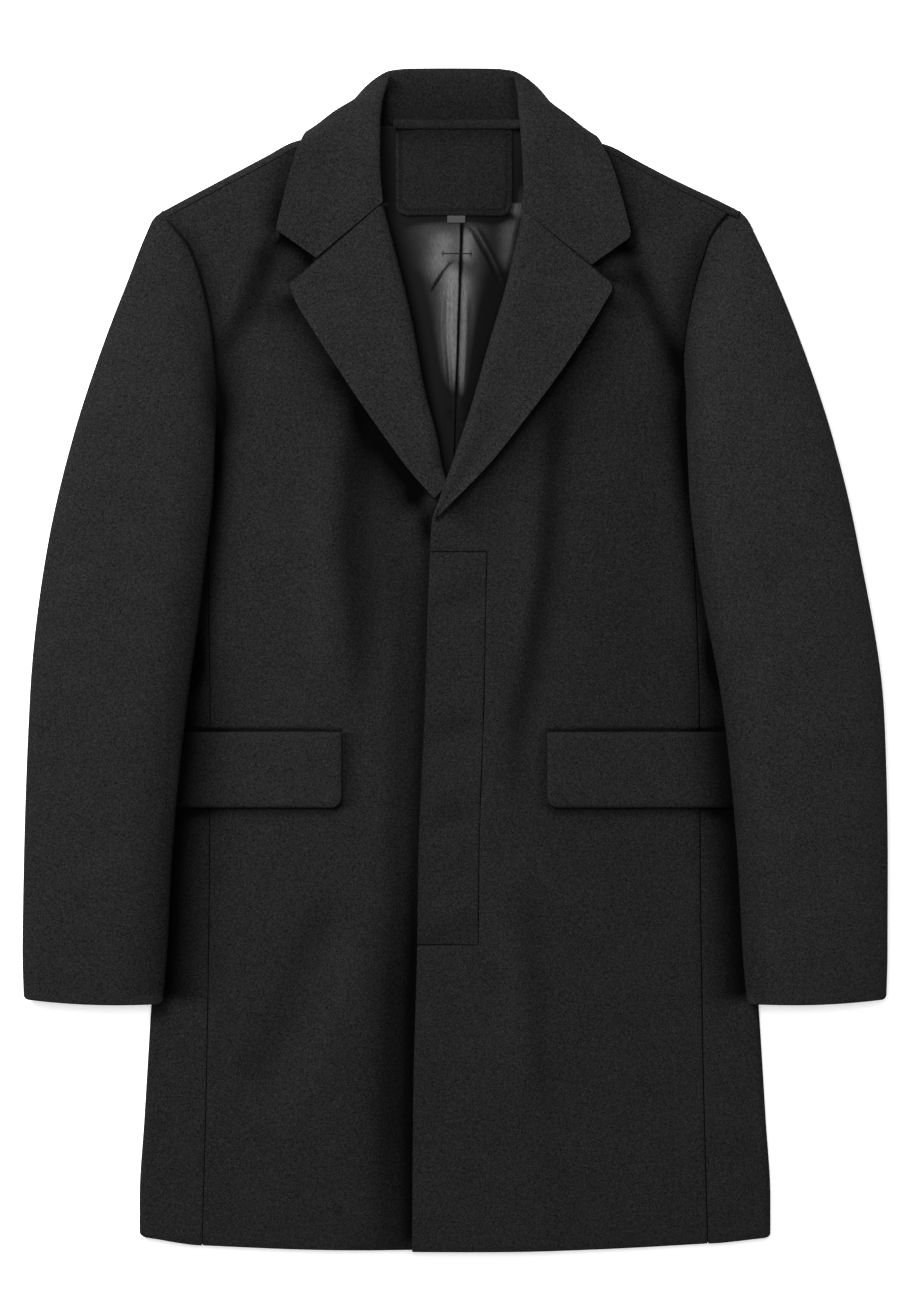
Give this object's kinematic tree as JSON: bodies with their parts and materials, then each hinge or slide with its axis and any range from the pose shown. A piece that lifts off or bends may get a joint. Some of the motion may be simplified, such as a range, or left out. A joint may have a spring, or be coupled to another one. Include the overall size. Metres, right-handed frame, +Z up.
{
  "type": "coat",
  "caption": "Knee-length single-breasted wool coat lying flat on its back, with notched lapels, a concealed fly front, flap pockets and long sleeves.",
  "frame": {"origin": "on the surface the coat lies on, under the middle of its outline", "axes": "+X towards the wearer's left, +Y from hem to collar, +Z up, out of the front of the coat"},
  "size_m": [0.6921, 0.948, 0.035],
  "materials": {
    "wool": "felted black melton wool, matt",
    "lining": "black satin",
    "tab": "dark woven tape"
  },
  "bodies": {
    "root": {"front_right": "wool", "front_left": "wool", "fly_placket": "wool", "side_panel_right": "wool", "side_panel_left": "wool", "back": "wool", "sleeve_right": "wool", "sleeve_left": "wool", "lapel_right": "wool", "lapel_left": "wool", "collar_leaf": "wool", "collar_stand": "wool", "pocket_flap_right": "wool", "pocket_flap_left": "wool", "neck_patch": "wool", "hanger_loop": "wool", "back_lining": "lining", "size_tab": "tab"}
  },
  "joints": []
}
